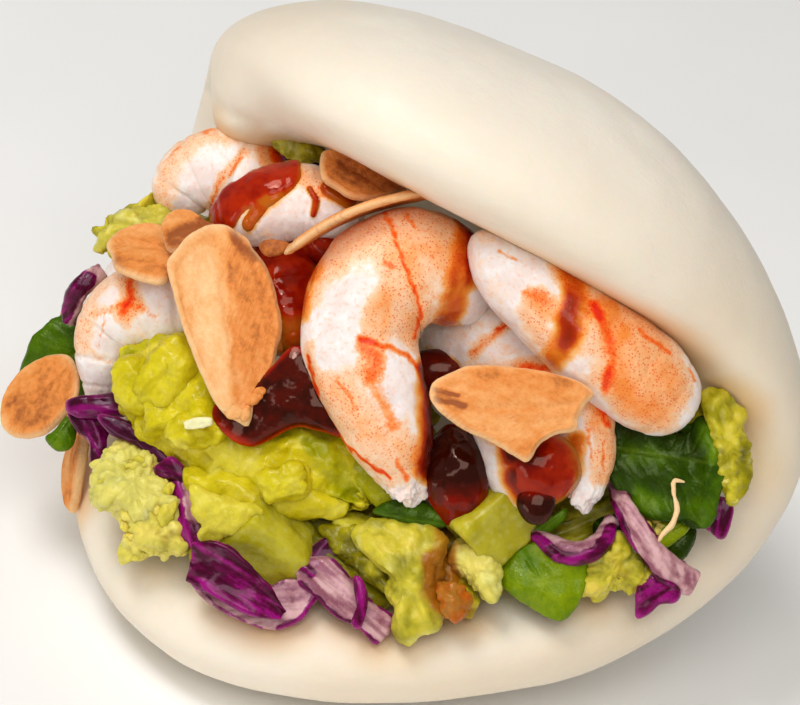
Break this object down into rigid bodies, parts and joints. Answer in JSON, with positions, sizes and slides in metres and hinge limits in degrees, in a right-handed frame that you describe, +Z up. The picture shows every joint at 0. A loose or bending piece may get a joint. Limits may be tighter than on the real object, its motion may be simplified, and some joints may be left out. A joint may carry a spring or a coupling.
{
  "type": "gua bao",
  "caption": "Folded half-round steamed bun, open along its curved front, heaped with shrimps, avocado mash, salad shreds, cucumber cubes and toasted almond slices.",
  "frame": {"origin": "middle of the flat spot that the bun stands on, below the middle of the whole", "axes": "+Z up, +X along the fold to the right, -Y toward the open mouth"},
  "size_m": [0.096, 0.0697, 0.0757],
  "materials": {
    "dough": "satin, soft cream",
    "shrimp_meat": "moist, orange over white",
    "toasted_almond": "dry, toasted tan",
    "avocado": "wet mash, yellow-green",
    "cucumber": "wet, pale green",
    "green_leaf": "glossy dark green",
    "salad_leaves": "moist, yellow-green with purple shreds",
    "sauce": "wet, dark red-brown"
  },
  "bodies": {
    "root": {"almond_1": "toasted_almond", "almond_2": "toasted_almond", "almond_3": "toasted_almond", "almond_4": "toasted_almond", "almond_5": "toasted_almond", "almond_6": "toasted_almond", "almond_7": "toasted_almond", "almond_8": "toasted_almond", "almond_9": "toasted_almond", "avocado": "avocado", "bun": "dough", "cucumber_1": "cucumber", "cucumber_2": "cucumber", "cucumber_3": "cucumber", "leaf_left": "green_leaf", "leaf_right": "green_leaf", "salad": "salad_leaves", "sauce_drop": "sauce", "shrimp_1": "shrimp_meat", "shrimp_2": "shrimp_meat", "shrimp_3": "shrimp_meat", "shrimp_4": "shrimp_meat", "shrimp_5": "shrimp_meat", "shrimp_6": "shrimp_meat", "shrimp_7": "shrimp_meat", "shrimp_8": "shrimp_meat", "shrimp_9": "shrimp_meat"}
  },
  "joints": []
}
